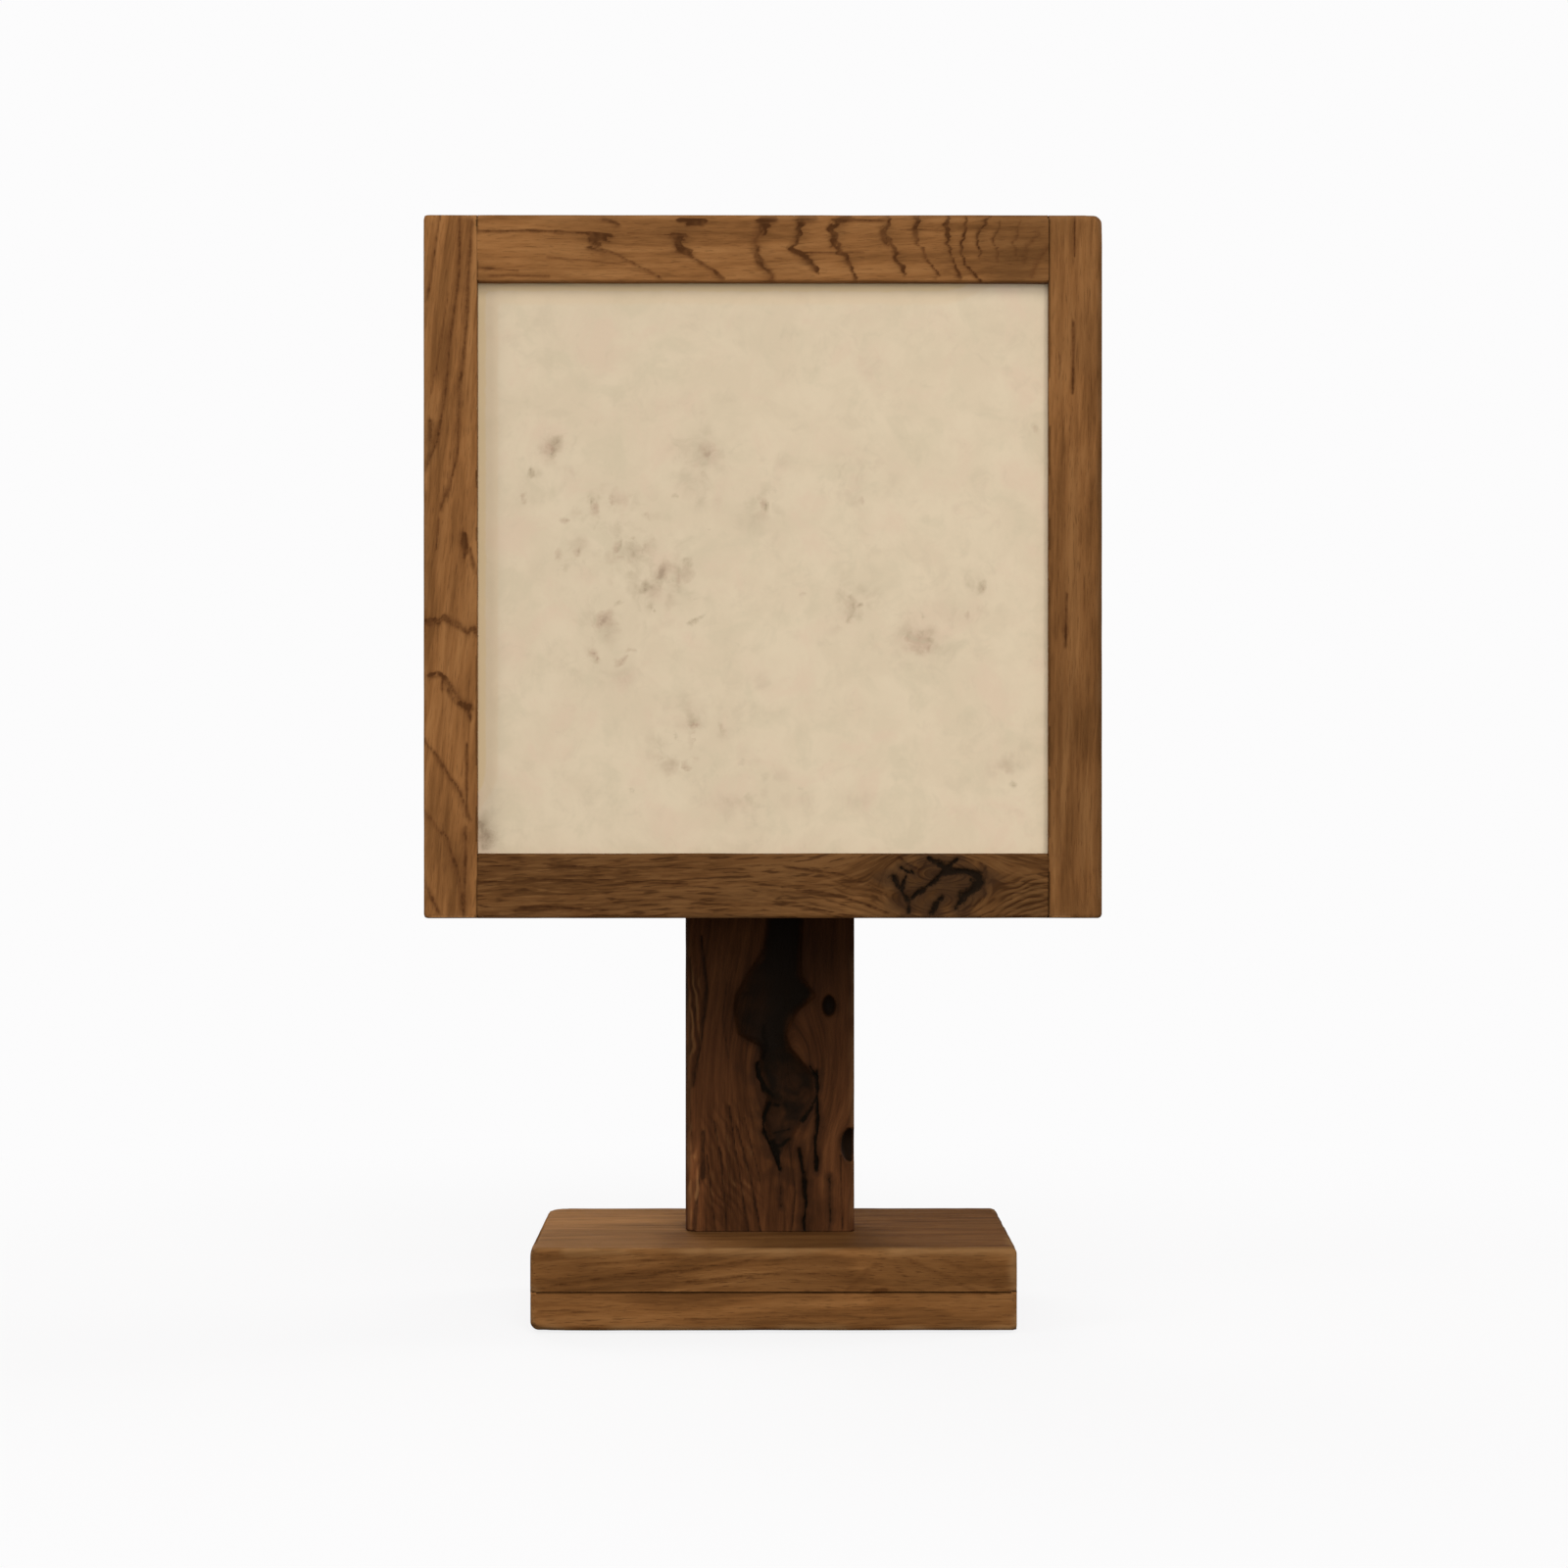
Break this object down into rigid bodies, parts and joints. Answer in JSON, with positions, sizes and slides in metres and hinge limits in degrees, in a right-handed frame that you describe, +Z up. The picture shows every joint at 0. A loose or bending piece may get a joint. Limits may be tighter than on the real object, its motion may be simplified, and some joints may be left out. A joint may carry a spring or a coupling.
{
  "type": "table lamp",
  "caption": "Lantern table lamp in old elm: parchment panels in a tenoned frame, on a plank post with a natural hollow and a base of stacked planks, lit by a screw-in bulb.",
  "frame": {"origin": "on the table under the middle of the lantern", "axes": "+Z up, -Y towards the front, where the post has its natural hollow, +X to the right seen from the front"},
  "size_m": [0.382, 0.21, 0.6298],
  "materials": {
    "elm_frame": "old elm, oiled, worn",
    "elm_post": "old elm, dark, with natural hollows",
    "elm_base": "old elm, oiled, worn",
    "elm_bead": "elm, oiled",
    "parchment": "mottled parchment on a stiff clear backing",
    "brass": "plain turned brass",
    "screw_steel": "plain steel",
    "felt": "pressed felt",
    "holder_black": "black moulding",
    "insulator_ceramic": "white ceramic",
    "bulb_opal": "opal glass",
    "bulb_nickel": "nickel plate",
    "lead_sheath": "black sheath"
  },
  "bodies": {
    "lamp": {"base_lower_plank": "elm_base", "base_screw_1": "screw_steel", "base_screw_2": "screw_steel", "base_screw_3": "screw_steel", "base_screw_4": "screw_steel", "base_upper_plank": "elm_base", "bead_back_bottom": "elm_bead", "bead_back_left": "elm_bead", "bead_back_right": "elm_bead", "bead_back_top": "elm_bead", "bead_front_bottom": "elm_bead", "bead_front_left": "elm_bead", "bead_front_right": "elm_bead", "bead_front_top": "elm_bead", "bead_left_bottom": "elm_bead", "bead_left_left": "elm_bead", "bead_left_right": "elm_bead", "bead_left_top": "elm_bead", "bead_right_bottom": "elm_bead", "bead_right_left": "elm_bead", "bead_right_right": "elm_bead", "bead_right_top": "elm_bead", "cable_gland": "brass", "carrier": "elm_bead", "carrier_screw_1": "screw_steel", "carrier_screw_2": "screw_steel", "corner_post_back_left": "elm_frame", "corner_post_back_right": "elm_frame", "corner_post_front_left": "elm_frame", "corner_post_front_right": "elm_frame", "felt_pad_1": "felt", "felt_pad_2": "felt", "felt_pad_3": "felt", "felt_pad_4": "felt", "inner_lead": "lead_sheath", "lamp_rod": "brass", "lampholder_body": "holder_black", "lampholder_cap": "holder_black", "lampholder_contact": "brass", "lampholder_insulator": "insulator_ceramic", "lampholder_ring": "holder_black", "panel_back": "parchment", "panel_front": "parchment", "panel_left": "parchment", "panel_right": "parchment", "post": "elm_post", "post_screw_1": "screw_steel", "post_screw_2": "screw_steel", "rail_back_bottom": "elm_frame", "rail_back_top": "elm_frame", "rail_front_bottom": "elm_frame", "rail_front_top": "elm_frame", "rail_left_bottom": "elm_frame", "rail_left_top": "elm_frame", "rail_right_bottom": "elm_frame", "rail_right_top": "elm_frame", "rod_nut": "brass"},
    "bulb": {"bulb_glass": "bulb_opal", "bulb_cap": "bulb_nickel"}
  },
  "joints": [
    {"name": "bulb_lift", "type": "slide", "parent": "lamp", "child": "bulb", "axis": [0, 0, 1], "range_m": [0, 0.31]}
  ]
}
